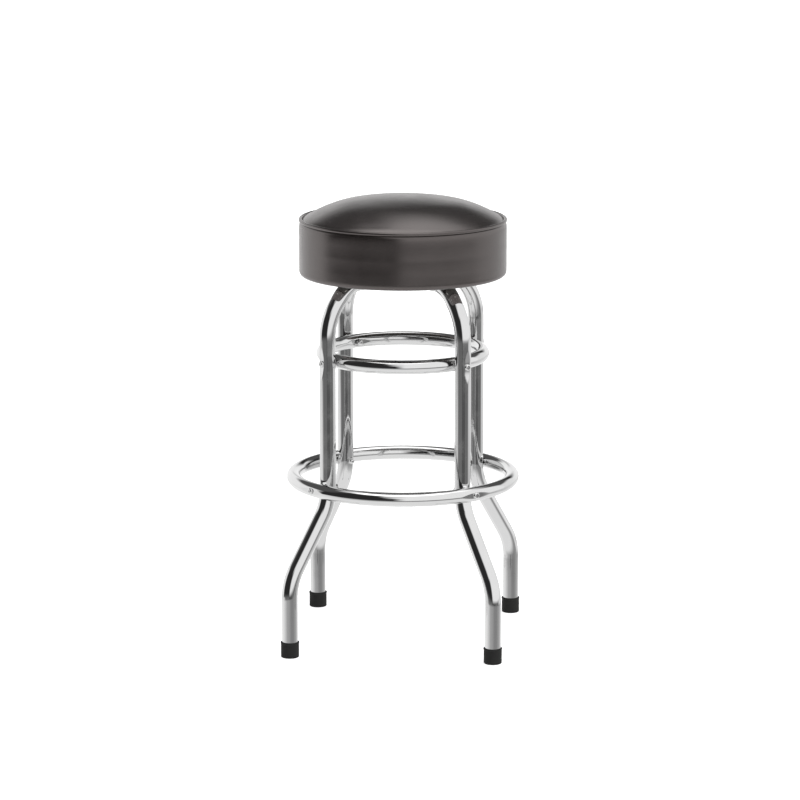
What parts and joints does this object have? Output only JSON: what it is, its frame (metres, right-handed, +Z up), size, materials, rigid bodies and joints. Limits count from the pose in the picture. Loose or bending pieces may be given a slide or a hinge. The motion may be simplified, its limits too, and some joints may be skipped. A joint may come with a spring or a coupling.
{
  "type": "bar stool",
  "caption": "Round bar stool with a padded swivel seat, bent chrome tube legs that cross under it, an inner brace ring, an outer foot ring and rubber feet.",
  "frame": {"origin": "on the floor, on the stool's axis", "axes": "+Z up along the seat's turning axis; the legs stand on the diagonals between X and Y"},
  "size_m": [0.4174, 0.4174, 0.8008],
  "materials": {
    "chrome_tube": "polished chrome plate",
    "chrome_fastener": "polished chrome plate",
    "foot_rubber": "matt moulded rubber",
    "zinc_steel": "bright zinc plate",
    "swivel_paint": "black enamel",
    "plywood": "black-stained plywood",
    "foam": "open-cell foam",
    "seat_vinyl": "semi-gloss vinyl"
  },
  "bodies": {
    "frame": {"over_leg_tube": "chrome_tube", "under_leg_tube": "chrome_tube", "upper_ring": "chrome_tube", "foot_ring": "chrome_tube", "upper_ring_screws": "chrome_fastener", "upper_ring_nuts": "chrome_fastener", "foot_ring_screws": "chrome_fastener", "foot_ring_nuts": "chrome_fastener", "foot_cap_front_left": "foot_rubber", "foot_cap_front_right": "foot_rubber", "foot_cap_rear_left": "foot_rubber", "foot_cap_rear_right": "foot_rubber", "foot_cap_washers": "zinc_steel", "swivel_lower_plate": "swivel_paint", "swivel_king_rivet": "zinc_steel", "plate_bolts": "zinc_steel", "plate_nuts": "zinc_steel"},
    "bearing": {"swivel_balls": "zinc_steel", "swivel_ball_cage": "zinc_steel"},
    "seat": {"swivel_upper_plate": "swivel_paint", "swivel_plate_screws": "zinc_steel", "seat_board": "plywood", "seat_hoop": "plywood", "hoop_screws": "zinc_steel", "cover_staples": "zinc_steel", "edge_padding": "foam", "seat_foam": "foam", "seat_top_panel": "seat_vinyl", "seat_welt": "seat_vinyl", "seat_side_band": "seat_vinyl"}
  },
  "joints": [
    {"name": "seat_swivel", "type": "hinge", "parent": "frame", "child": "seat", "pos_m": [0, 0, 0.675], "axis": [0, 0, 1], "continuous": true},
    {"name": "cage_roll", "type": "hinge", "parent": "frame", "child": "bearing", "pos_m": [0, 0, 0.675], "axis": [0, 0, 1], "continuous": true}
  ],
  "couplings": [
    {"joint": "cage_roll", "follows": "seat_swivel", "ratio": 0.5}
  ]
}
